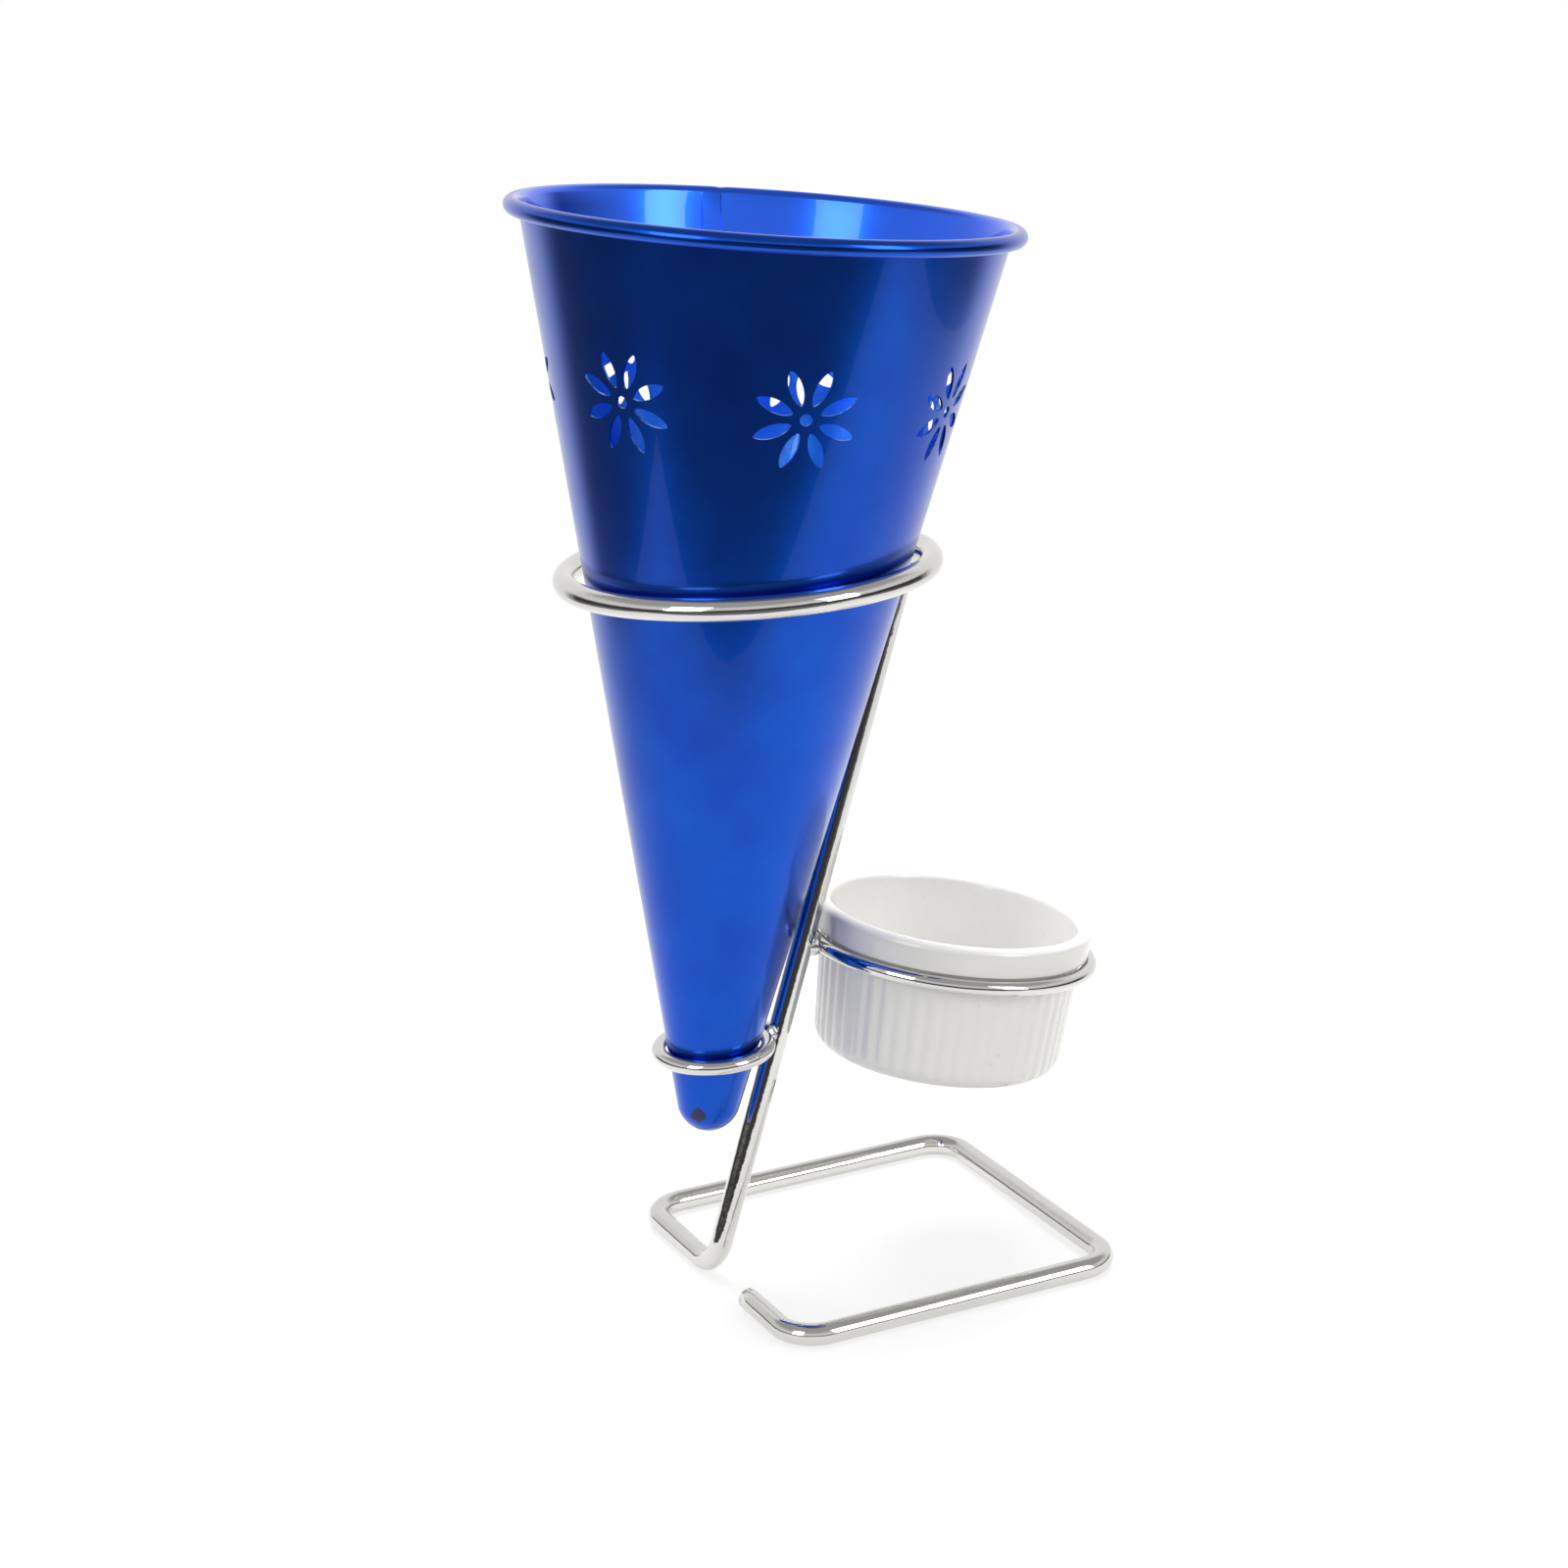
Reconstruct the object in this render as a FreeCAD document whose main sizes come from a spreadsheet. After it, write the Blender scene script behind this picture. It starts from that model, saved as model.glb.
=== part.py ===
import FreeCAD, Part
import itertools
import math
import os
import Sketcher
from FreeCAD import Placement, Rotation, Vector

# Snack cone with punched flowers in a bent wire stand, with a fluted sauce dish beside it.
# Millimetres. X runs along the base frame, Y across it, +Z up. The upright stands in the plane
# Y = 0, with the hoops on both sides of it. The origin is on the table, midway along the frame.

os.makedirs("parts", exist_ok=True)
doc = FreeCAD.newDocument("snack_cone_stand")

# Driving dimensions, in millimetres and degrees
driving = {
    "rod_dia": 6.0,  # stand rod and cone hoop
    "wire_dia": 4.0,  # tip hoop and dish hoop
    "frame_length": 96.0,  # base frame along X, between rod centres
    "frame_near": 49.5,  # upright plane to the near rod
    "frame_far": 44.8,  # upright plane to the far rod
    "frame_bend": 10.0,  # corner bends, to the rod centre
    "foot_bend": 8.0,  # bend from the frame into the upright
    "end_gap": 20.7,  # upright plane to the rod's cut end
    "end_chamfer": 0.6,
    "upright_lean": 18.4,  # from vertical, towards +X
    "cone_hoop_room": 2.82,  # between the cone's wall and the inside of the hoop
    "tip_hoop_room": 0.5,
    "tip_hoop_hold": 22.8,  # where the tip hoop stands, up from the cone's tip
    "dish_hoop_over": 0.6,  # hoop between wire centres, over the dish's rim
    "cone_hoop_height": 195.4,  # where each hoop meets the upright
    "tip_hoop_height": 67.5,
    "dish_hoop_height": 89.8,
    "cone_hoop_tilt": 0.9,  # rise towards +X
    "cone_hoop_near_tilt": 1.9,  # rise towards -Y
    "tip_hoop_tilt": 1.2,
    "dish_hoop_tilt": 9.5,  # fall towards +X
    "tip_hoop_turn": 4.4,  # welded on a little towards -Y, about the upright
    "dish_hoop_turn": 5.0,
    "weld_gap": 0.3,  # between the wires, filled by the bead
    "rod_bead": 8.6,  # weld bead diameters
    "wire_bead": 6.4,
    "seat_gap": 0.3,  # under what only rests in a hoop
    "cone_rest_turn": 26.0,  # where the cone leans on its hoop, from -Y towards -X
    "cone_turn": 12.1,  # flowers, from -Y towards -X
    "mouth_dia": 130.0,  # over the rolled rim
    "cone_length": 241.7,
    "tip_radius": 8.4,
    "sheet_thickness": 0.6,
    "curl_dia": 4.2,  # rolled rim
    "curl_sweep": 300.0,
    "flower_height": 197.7,  # from the tip, along the cone's axis
    "flower_count": 7,
    "petal_count": 8,
    "petal_start": 3.7,  # from the flower's centre
    "petal_end": 12.7,
    "petal_width": 3.3,
    "petal_turn": 18.4,  # first petal, from the line up the cone
    "eye_dia": 3.1,
    "lap_sweep": 5.2,  # lapped seam, in degrees about the axis
    "lap_start": 16.0,  # above the tip
    "lap_stop": 4.0,  # below the rim
    "dish_dia": 75.2,
    "dish_height": 40.6,
    "wall_flare": 1.85,  # wall top over its foot, on the radius
    "dish_wall": 4.0,
    "dish_floor": 4.5,
    "rim_round": 2.0,
    "collar_height": 7.8,
    "collar_flare": 0.4,  # rim over collar foot, on the radius
    "dish_slip": 0.45,  # fluted wall inside its hoop
    "heel_radius": 5.0,
    "bowl_radius": 7.0,
    "foot_width": 3.0,
    "foot_recess": 0.8,
    "flute_count": 50,
    "flute_land": 0.32,  # plain strip between two flutes, at the foot
    "flute_depth": 0.42,
    "flute_stop": 1.0,  # plain band under the collar
}

sheet = doc.addObject("Spreadsheet::Sheet", "Sizes")
rows = itertools.count(1)


def keep(name, value):
    """Write a named size into the sheet."""
    row = next(rows)
    sheet.set(f"A{row}", name)
    sheet.set(f"B{row}", str(value))
    sheet.setAlias(f"B{row}", name)


for name, value in driving.items():
    keep(name, value)
doc.recompute()


def size(name):
    """The value of a named size in the sheet."""
    return float(sheet.get(name))


def bind(thing, **expressions):
    """Tie properties of an object to the sheet."""
    for prop, expression in expressions.items():
        thing.setExpression(prop, expression)


# The cone's wall is tangent to the round tip and to the rolled rim. In the half section, its angle
# follows from the two circles that it touches, and its outer line runs to a point below the tip.
tip_r = size("tip_radius")
thick = size("sheet_thickness")
curl_r = size("curl_dia") / 2
curl_at = (size("mouth_dia") / 2 - curl_r, size("cone_length") - curl_r)
tip_at = (0.0, tip_r)
rise = curl_at[1] - tip_at[1]
between = math.hypot(curl_at[0], rise)
half_angle = math.acos((tip_r + curl_r - thick) / between) - math.atan2(rise, curl_at[0])
outward = (math.cos(half_angle), -math.sin(half_angle))
from_apex = tip_r / math.sin(half_angle) - tip_r


def off(point, distance):
    """A point moved square to the wall, outwards."""
    return (point[0] + outward[0] * distance, point[1] + outward[1] * distance)


def wall_radius(height):
    """Outer radius of the cone at a height above its tip."""
    return (height + from_apex) * math.tan(half_angle)


# Each hoop is as wide as what it holds, with a clearance
rod_r = size("rod_dia") / 2
wire_r = size("wire_dia") / 2
between_hoops = size("cone_hoop_height") - size("tip_hoop_height")
wall_at_tip_hoop = wall_radius(size("tip_hoop_hold"))
wall_at_cone_hoop = wall_radius(size("tip_hoop_hold") + between_hoops)
keep("tip_hoop_dia", 2 * (wall_at_tip_hoop + size("tip_hoop_room") + wire_r))
keep("cone_hoop_dia", 2 * (wall_at_cone_hoop + size("cone_hoop_room") + rod_r))
keep("dish_hoop_dia", size("dish_dia") + size("dish_hoop_over"))
doc.recompute()

lean = math.radians(size("upright_lean"))
upright_dir = Vector(math.sin(lean), 0, math.cos(lean))
frame_x = size("frame_length") / 2
foot = Vector(-frame_x, 0, rod_r)


def upright_at(height):
    """The point on the upright's axis at a height."""
    return foot + upright_dir * ((height - foot.z) / upright_dir.z)


# Where the hoops stand. Each lies in a plane of its own, and the end of its X axis that faces the
# upright is where it is welded on.
X_AXIS = Vector(1, 0, 0)
Y_AXIS = Vector(0, 1, 0)
Z_AXIS = Vector(0, 0, 1)


def hoop_plane(turn, rise, near_rise=0.0):
    """Turn about the upright, then the rise along the hoop's X axis and the rise towards -Y."""
    tilted = Rotation(Y_AXIS, -rise) * Rotation(X_AXIS, -near_rise)
    return Rotation(Z_AXIS, turn) * tilted


def beside_upright(height, outward):
    """A point at a height where a wire stands a weld gap away from the upright."""
    apart = (rod_r + wire_r + size("weld_gap")) / upright_dir.z
    return upright_at(height) + outward * apart


cone_plane = hoop_plane(0, size("cone_hoop_tilt"), size("cone_hoop_near_tilt"))
tip_plane = hoop_plane(size("tip_hoop_turn"), size("tip_hoop_tilt"))
dish_plane = hoop_plane(-size("dish_hoop_turn"), -size("dish_hoop_tilt"))
tip_side = Rotation(Z_AXIS, size("tip_hoop_turn")).multVec(-X_AXIS)
dish_side = Rotation(Z_AXIS, -size("dish_hoop_turn")).multVec(X_AXIS)
cone_meet = upright_at(size("cone_hoop_height"))
tip_meet = beside_upright(size("tip_hoop_height"), tip_side)
dish_meet = beside_upright(size("dish_hoop_height"), dish_side)
cone_ring_r = size("cone_hoop_dia") / 2
tip_ring_r = size("tip_hoop_dia") / 2
dish_ring_r = size("dish_hoop_dia") / 2
cone_ring = cone_meet - cone_plane.multVec(X_AXIS) * cone_ring_r
tip_ring = tip_meet - tip_plane.multVec(X_AXIS) * tip_ring_r
dish_ring = dish_meet + dish_plane.multVec(X_AXIS) * dish_ring_r


# Stand rod: base frame and upright in one bent piece
def rounded_path(points, radii):
    """Straight runs through the points, joined by tangent arcs of the given radii."""
    edges = []
    start = points[0]
    for before, corner, after, radius in zip(points, points[1:], points[2:], radii):
        back = (before - corner).normalize()
        ahead = (after - corner).normalize()
        half = back.getAngle(ahead) / 2
        reach = radius / math.tan(half)
        middle = (back + ahead).normalize()
        centre = corner + middle * (radius / math.sin(half))
        arc_start = corner + back * reach
        arc_end = corner + ahead * reach
        edges.append(Part.LineSegment(start, arc_start).toShape())
        edges.append(Part.Arc(arc_start, centre - middle * radius, arc_end).toShape())
        start = arc_end
    edges.append(Part.LineSegment(start, points[-1]).toShape())
    return Part.Wire(edges)


rod_end = Vector(-frame_x, -size("end_gap"), rod_r)
upright_end = cone_meet - upright_dir * (rod_r + size("weld_gap"))
corners = [
    rod_end,
    Vector(-frame_x, -size("frame_near"), rod_r),
    Vector(frame_x, -size("frame_near"), rod_r),
    Vector(frame_x, size("frame_far"), rod_r),
    Vector(-frame_x, size("frame_far"), rod_r),
    foot,
    upright_end,
]
bends = [size("frame_bend")] * 4 + [size("foot_bend")]
path = doc.addObject("Part::Feature", "rod_path")
path.Shape = rounded_path(corners, bends)

section = doc.addObject("Part::Circle", "rod_section")
bind(section, Radius="Sizes.rod_dia / 2")
section.Placement = Placement(rod_end, Rotation(Vector(0, 0, 1), Vector(0, -1, 0)))

bent_rod = doc.addObject("Part::Sweep", "bent_rod")
bent_rod.Sections = [section]
bent_rod.Spine = (path, [f"Edge{n + 1}" for n in range(len(path.Shape.Edges))])
bent_rod.Solid = True
doc.recompute()


def edge_at(shape, point):
    """Number of the round edge whose centre is nearest to a point."""
    rounds = [n for n, edge in enumerate(shape.Edges, start=1) if hasattr(edge.Curve, "Center")]
    return min(rounds, key=lambda n: shape.Edges[n - 1].Curve.Center.distanceToPoint(point))


stand_wire = doc.addObject("Part::Chamfer", "stand_wire")
stand_wire.Base = bent_rod
cut_edge = edge_at(bent_rod.Shape, rod_end)
stand_wire.Edges = [(cut_edge, size("end_chamfer"), size("end_chamfer"))]


# Hoops
def hoop(label, ring_size, section_size, centre, plane):
    """A closed ring of round wire, bound to its sizes."""
    ring = doc.addObject("Part::Torus", label)
    bind(ring, Radius1=f"Sizes.{ring_size} / 2", Radius2=f"Sizes.{section_size} / 2")
    ring.Placement = Placement(centre, plane)
    return ring


cone_hoop = hoop("cone_hoop", "cone_hoop_dia", "rod_dia", cone_ring, cone_plane)
tip_hoop = hoop("tip_hoop", "tip_hoop_dia", "wire_dia", tip_ring, tip_plane)
dish_hoop = hoop("dish_hoop", "dish_hoop_dia", "wire_dia", dish_ring, dish_plane)
doc.recompute()


# Weld beads: round blobs in the gap between two wires, with both wires' forms cut away
def weld(label, bead_size, centre, ring):
    blob = doc.addObject("Part::Sphere", label + "_blob")
    bind(blob, Radius=f"Sizes.{bead_size} / 2")
    blob.Placement = Placement(centre, Rotation())
    trimmed = doc.addObject("Part::Cut", label + "_trimmed")
    trimmed.Base = blob
    trimmed.Tool = stand_wire
    bead = doc.addObject("Part::Cut", label)
    bead.Base = trimmed
    bead.Tool = ring
    return bead


half_gap = size("weld_gap") / 2
cone_weld_at = cone_meet - upright_dir * (rod_r + half_gap)
tip_weld_at = tip_meet - tip_side * (wire_r + half_gap)
dish_weld_at = dish_meet - dish_side * (wire_r + half_gap)
cone_hoop_weld = weld("cone_hoop_weld", "rod_bead", cone_weld_at, cone_hoop)
tip_hoop_weld = weld("tip_hoop_weld", "wire_bead", tip_weld_at, tip_hoop)
dish_hoop_weld = weld("dish_hoop_weld", "wire_bead", dish_weld_at, dish_hoop)


# Sketches
def body_plane(body, role):
    return next(item for item in body.Origin.OriginFeatures if item.Role == role)


def new_sketch(body, name, role="XZ_Plane", offset=None):
    """An empty sketch on one of its body's own origin planes."""
    sketch = body.newObject("Sketcher::SketchObject", name)
    sketch.AttachmentSupport = [(body_plane(body, role), "")]
    sketch.MapMode = "FlatFace"
    if offset:
        sketch.AttachmentOffset = offset
    return sketch


def line(start, end):
    return Part.LineSegment(Vector(*start, 0), Vector(*end, 0))


def arc(centre, radius, first, last):
    """Counter-clockwise arc between two angles in degrees."""
    circle = Part.Circle(Vector(*centre, 0), Vector(0, 0, 1), radius)
    return Part.ArcOfCircle(circle, math.radians(first), math.radians(last))


def constrain(sketch, kind, *where, name=None, to=None):
    """Add a constraint, and name it and bind it to the sheet when it is a size."""
    number = sketch.addConstraint(Sketcher.Constraint(kind, *where))
    if name:
        sketch.renameConstraint(number, name)
        sketch.setExpression(f"Constraints.{name}", to)


def on_up_axis(sketch, number, end):
    """Hold a point on the sketch's vertical axis, which has the number -2."""
    sketch.addConstraint(Sketcher.Constraint("PointOnObject", number, end, -2))


START, END, CENTRE = range(1, 4)
ORIGIN = (-1, START)

def polar(centre, radius, degrees):
    angle = math.radians(degrees)
    return (centre[0] + radius * math.cos(angle), centre[1] + radius * math.sin(angle))


# Cone: one rolled sheet
cone = doc.addObject("PartDesign::Body", "cone")
profile = new_sketch(cone, "cone_section")
wall_angle = -math.degrees(half_angle)
curl_from = 180 + wall_angle
curl_to = curl_from - size("curl_sweep")
inner_curl_r = curl_r - thick
profile.addGeometry([
    arc(tip_at, tip_r, -90, wall_angle),
    line(off(tip_at, tip_r), off(curl_at, -inner_curl_r)),
    arc(curl_at, inner_curl_r, curl_to, curl_from),
    line(polar(curl_at, inner_curl_r, curl_to), polar(curl_at, curl_r, curl_to)),
    arc(curl_at, curl_r, curl_to, curl_from),
    line(off(curl_at, -curl_r), off(tip_at, tip_r - thick)),
    arc(tip_at, tip_r - thick, -90, wall_angle),
    line((0, thick), (0, 0)),
])
constrain(profile, "Tangent", 0, END, 1, START)
constrain(profile, "Tangent", 1, END, 2, END)
constrain(profile, "Coincident", 2, START, 3, START)
constrain(profile, "Coincident", 3, END, 4, START)
constrain(profile, "Tangent", 4, END, 5, START)
constrain(profile, "Tangent", 5, END, 6, END)
constrain(profile, "Coincident", 6, START, 7, START)
constrain(profile, "Coincident", 7, END, 0, START)
constrain(profile, "Coincident", 7, END, *ORIGIN)
on_up_axis(profile, 7, START)
on_up_axis(profile, 0, CENTRE)
constrain(profile, "Coincident", 0, CENTRE, 6, CENTRE)
constrain(profile, "Coincident", 2, CENTRE, 4, CENTRE)
constrain(profile, "PointOnObject", 2, CENTRE, 3)
constrain(profile, "Radius", 0, tip_r, name="tip_outside", to="Sizes.tip_radius")
constrain(profile, "Radius", 6, tip_r - thick, name="tip_inside",
          to="Sizes.tip_radius - Sizes.sheet_thickness")
constrain(profile, "Radius", 4, curl_r, name="curl_outside", to="Sizes.curl_dia / 2")
constrain(profile, "Radius", 2, inner_curl_r, name="curl_inside",
          to="Sizes.curl_dia / 2 - Sizes.sheet_thickness")
constrain(profile, "DistanceX", *ORIGIN, 4, CENTRE, curl_at[0], name="mouth",
          to="Sizes.mouth_dia / 2 - Sizes.curl_dia / 2")
constrain(profile, "DistanceY", *ORIGIN, 4, CENTRE, curl_at[1], name="length",
          to="Sizes.cone_length - Sizes.curl_dia / 2")

shell = cone.newObject("PartDesign::Revolution", "shell")
shell.Profile = profile
shell.ReferenceAxis = (profile, ["V_Axis"])
shell.Angle = 360
doc.recompute()

# Seam: inside the wall, the sheet's end laps over its start
lap_low = (wall_radius(size("lap_start")), size("lap_start"))
lap_top_height = size("cone_length") - size("lap_stop")
lap_high = (wall_radius(lap_top_height), lap_top_height)
lap_corners = [
    off(lap_low, -thick / 2),
    off(lap_high, -thick / 2),
    off(lap_high, -2 * thick),
    off(lap_low, -2 * thick),
]
lap_profile = new_sketch(cone, "lap_section", role="YZ_Plane")
lap_profile.addGeometry([
    line(start, end) for start, end in zip(lap_corners, lap_corners[1:] + lap_corners[:1])
])
for number in range(4):
    constrain(lap_profile, "Coincident", number, END, (number + 1) % 4, START)
lap = cone.newObject("PartDesign::Revolution", "lapped_seam")
lap.Profile = lap_profile
lap.ReferenceAxis = (lap_profile, ["V_Axis"])
lap.Midplane = True
bind(lap, Angle="Sizes.lap_sweep")
doc.recompute()

# Flowers: one petal and the eye are punched square to the wall, then repeated.
# The sketch plane stands outside the wall, with its up axis along the wall.
flower_r = wall_radius(size("flower_height"))
punch_clear = size("petal_end") ** 2 / (2 * flower_r) + thick
punch_at = off((flower_r, size("flower_height")), punch_clear)
punch_depth = 3 * punch_clear + thick


def punch_sketch(name):
    """A sketch square to the wall at the flower's centre, on the -Y side of the cone."""
    tipped = Rotation(Vector(1, 0, 0), math.degrees(half_angle))
    return new_sketch(cone, name, offset=Placement(Vector(0, punch_at[1], punch_at[0]), tipped))


def punch(name, sketch):
    """A pocket from the sketch through the wall."""
    pocket = cone.newObject("PartDesign::Pocket", name)
    pocket.Profile = sketch
    pocket.Type = 0
    pocket.Length = punch_depth
    doc.recompute()
    return pocket


eye_sketch = punch_sketch("eye_outline")
eye_sketch.addGeometry(Part.Circle(Vector(0, 0, 0), Vector(0, 0, 1), size("eye_dia") / 2))
constrain(eye_sketch, "Coincident", 0, CENTRE, *ORIGIN)
constrain(eye_sketch, "Diameter", 0, size("eye_dia"), name="eye", to="Sizes.eye_dia")
eye = punch("eye", eye_sketch)

# A petal is a lens of two equal arcs between its inner and outer points
petal_sketch = punch_sketch("petal_outline")
turn = 90 - size("petal_turn")
inner_point = Vector(*polar((0, 0), size("petal_start"), turn), 0)
outer_point = Vector(*polar((0, 0), size("petal_end"), turn), 0)
petal_mid = (inner_point + outer_point) / 2
across = Vector(-math.sin(math.radians(turn)), math.cos(math.radians(turn)), 0)
bulge = across * (size("petal_width") / 2)
petal_sketch.addGeometry([
    Part.Arc(outer_point, petal_mid + bulge, inner_point),
    Part.Arc(inner_point, petal_mid - bulge, outer_point),
])
petal_sketch.addGeometry(line((0, 0), (outer_point.x, outer_point.y)), True)
long_half = (size("petal_end") - size("petal_start")) / 2
wide_half = size("petal_width") / 2
petal_arc_r = (long_half ** 2 + wide_half ** 2) / (2 * wide_half)
constrain(petal_sketch, "Coincident", 0, END, 1, START)
constrain(petal_sketch, "Coincident", 0, START, 1, END)
constrain(petal_sketch, "Coincident", 2, START, *ORIGIN)
constrain(petal_sketch, "Coincident", 2, END, 0, START)
constrain(petal_sketch, "PointOnObject", 0, END, 2)
constrain(petal_sketch, "Distance", 2, size("petal_end"), name="far_point", to="Sizes.petal_end")
constrain(petal_sketch, "Distance", *ORIGIN, 0, END, size("petal_start"), name="near_point",
          to="Sizes.petal_start")
constrain(petal_sketch, "Radius", 0, petal_arc_r)
constrain(petal_sketch, "Equal", 0, 1)
petal = punch("petal", petal_sketch)


def polar_pattern(name, body, axis, count_size):
    pattern = body.newObject("PartDesign::PolarPattern", name)
    pattern.Axis = axis
    pattern.Angle = 360
    bind(pattern, Occurrences=f"Sizes.{count_size}")
    return pattern


def up_axis(body):
    return (body_plane(body, "Z_Axis"), [""])


eyes = polar_pattern("eyes", cone, up_axis(cone), "flower_count")
eyes.Originals = [eye]
cone.Tip = eyes
doc.recompute()
petals = cone.newObject("PartDesign::MultiTransform", "petals")
petals.Originals = [petal]
round_flower = polar_pattern("round_flower", cone, (petal_sketch, ["N_Axis"]), "petal_count")
round_cone = polar_pattern("round_cone", cone, up_axis(cone), "flower_count")
petals.Transformations = [round_flower, round_cone]
cone.Tip = petals
doc.recompute()
print("cone volume: shell", round(shell.Shape.Volume), "lapped", round(lap.Shape.Volume),
      "punched", round(petals.Shape.Volume))

# Where the cone hangs: it sinks until the tip hoop holds it, and leans on one point of the cone
# hoop. Its axis runs from a point in the tip hoop to a point in the cone hoop. Both are moved step
# by step until the wall stands clear by a seat gap, and equally on two sides of the tip hoop.
wall_slope = math.tan(half_angle)
rest_turn = math.radians(270 - size("cone_rest_turn"))
rest_out = cone_plane.multVec(Vector(math.cos(rest_turn), math.sin(rest_turn), 0))
rest_side = cone_plane.multVec(Vector(-math.sin(rest_turn), math.cos(rest_turn), 0))
rest_at = cone_ring + rest_out * cone_ring_r
tip_out = tip_plane.multVec(X_AXIS)
low = tip_ring
high = cone_ring
low_along = tip_ring_r / wall_slope  # from the wall's apex


def from_axis(point):
    """Height of a point above the low point along the cone's axis, and its reach from the axis."""
    height = (point - low).dot(cone_dir)
    return height, point - low - cone_dir * height


def wall_gap(point):
    """Distance of a point from the cone's outer wall."""
    height, reach = from_axis(point)
    return (reach.Length - (low_along + height) * wall_slope) * math.cos(half_angle)


for step in range(30):
    cone_dir = (high - low).normalize()
    reach = from_axis(rest_at)[1]
    aside = reach.dot(rest_side) - reach.Length * wall_slope * cone_dir.dot(rest_side)
    near_side = wall_gap(rest_at) - rod_r - size("seat_gap")
    right = wall_gap(tip_ring + tip_out * tip_ring_r) - wire_r - size("seat_gap")
    left = wall_gap(tip_ring - tip_out * tip_ring_r) - wire_r - size("seat_gap")
    high = high + rest_out * near_side + rest_side * aside
    low = low + tip_out * ((right - left) / 2)
    low_along += (right + left) / 2 / math.sin(half_angle)
cone_tip = low - cone_dir * (low_along - from_apex)
cone.Placement = Placement(
    cone_tip,
    Rotation(Z_AXIS, cone_dir) * Rotation(Z_AXIS, -size("cone_turn")),
)
print("cone half angle", round(math.degrees(half_angle), 2), "tip at", cone_tip, "axis", cone_dir)

# Sauce dish: collar, rim and fluted wall, in half section from the foot up
rim_r = size("dish_dia") / 2
high = size("dish_height")
rim_round = size("rim_round")
under = high - size("collar_height")
collar_r = rim_r - size("collar_flare")
wall_top_r = dish_ring_r - wire_r - size("dish_slip")
base_r = wall_top_r - size("wall_flare")
heel = size("heel_radius")
bowl = size("bowl_radius")
recess = size("foot_recess")
slope = math.atan2(wall_top_r - base_r, under)
inner_top_r = rim_r - 2 * rim_round
inner_base_r = base_r - size("dish_wall")
floor = size("dish_floor")
inner_slope = math.atan2(inner_top_r - inner_base_r, high - rim_round - floor)
heel_centre = (base_r + heel * math.tan(slope) - heel / math.cos(slope), heel)
bowl_centre = (
    inner_base_r + bowl * math.tan(inner_slope) - bowl / math.cos(inner_slope),
    floor + bowl,
)
heel_top = polar(heel_centre, heel, -math.degrees(slope))
bowl_top = polar(bowl_centre, bowl, -math.degrees(inner_slope))
foot_out = heel_centre[0]
foot_in = foot_out - size("foot_width")

sauce_dish = doc.addObject("PartDesign::Body", "sauce_dish")
dish_profile = new_sketch(sauce_dish, "dish_section")
dish_profile.addGeometry([
    line((0, recess), (foot_in - recess, recess)),
    line((foot_in - recess, recess), (foot_in, 0)),
    line((foot_in, 0), (foot_out, 0)),
    arc(heel_centre, heel, -90, -math.degrees(slope)),
    line(heel_top, (wall_top_r, under)),
    line((wall_top_r, under), (collar_r, under)),
    line((collar_r, under), (rim_r, high - rim_round)),
    arc((rim_r - rim_round, high - rim_round), rim_round, 0, 180),
    line((inner_top_r, high - rim_round), bowl_top),
    arc(bowl_centre, bowl, -90, -math.degrees(inner_slope)),
    line((bowl_centre[0], floor), (0, floor)),
    line((0, floor), (0, recess)),
])
last_line = 11
constrain(dish_profile, "Coincident", last_line, END, 0, START)
for number in (0, 1, 2, 4, 5, 6, 7):
    ends = {2: (2, END, 3, START), 6: (6, END, 7, START), 7: (7, END, 8, START)}
    constrain(dish_profile, "Coincident", *ends.get(number, (number, END, number + 1, START)))
constrain(dish_profile, "Tangent", 3, END, 4, START)
constrain(dish_profile, "Tangent", 8, END, 9, END)
constrain(dish_profile, "Coincident", 9, START, 10, START)
constrain(dish_profile, "Coincident", 10, END, last_line, START)
for number in (0, 2, 5, 10):
    constrain(dish_profile, "Horizontal", number)
on_up_axis(dish_profile, 0, START)
on_up_axis(dish_profile, last_line, START)
constrain(dish_profile, "DistanceY", *ORIGIN, 2, END, 0)
constrain(dish_profile, "DistanceY", *ORIGIN, 0, START, recess, name="recess", to="Sizes.foot_recess")
constrain(dish_profile, "DistanceY", *ORIGIN, 10, END, floor, name="floor", to="Sizes.dish_floor")
constrain(dish_profile, "Radius", 3, heel, name="heel", to="Sizes.heel_radius")
constrain(dish_profile, "Radius", 9, bowl, name="bowl", to="Sizes.bowl_radius")
constrain(dish_profile, "DistanceX", *ORIGIN, 6, END, rim_r, name="rim", to="Sizes.dish_dia / 2")
constrain(dish_profile, "DistanceX", *ORIGIN, 6, START, collar_r, name="collar",
          to="Sizes.dish_dia / 2 - Sizes.collar_flare")
constrain(dish_profile, "DistanceX", *ORIGIN, 5, START, wall_top_r, name="wall_top",
          to="Sizes.dish_hoop_dia / 2 - Sizes.wire_dia / 2 - Sizes.dish_slip")
constrain(dish_profile, "DistanceY", *ORIGIN, 5, START, under, name="collar_foot",
          to="Sizes.dish_height - Sizes.collar_height")
constrain(dish_profile, "DistanceY", *ORIGIN, 6, END, high - rim_round, name="rim_height",
          to="Sizes.dish_height - Sizes.rim_round")
constrain(dish_profile, "Radius", 7, rim_round, name="rim_round", to="Sizes.rim_round")
dish_turned = sauce_dish.newObject("PartDesign::Revolution", "dish_turned")
dish_turned.Profile = dish_profile
dish_turned.ReferenceAxis = (dish_profile, ["V_Axis"])
dish_turned.Angle = 360
doc.recompute()

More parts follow.
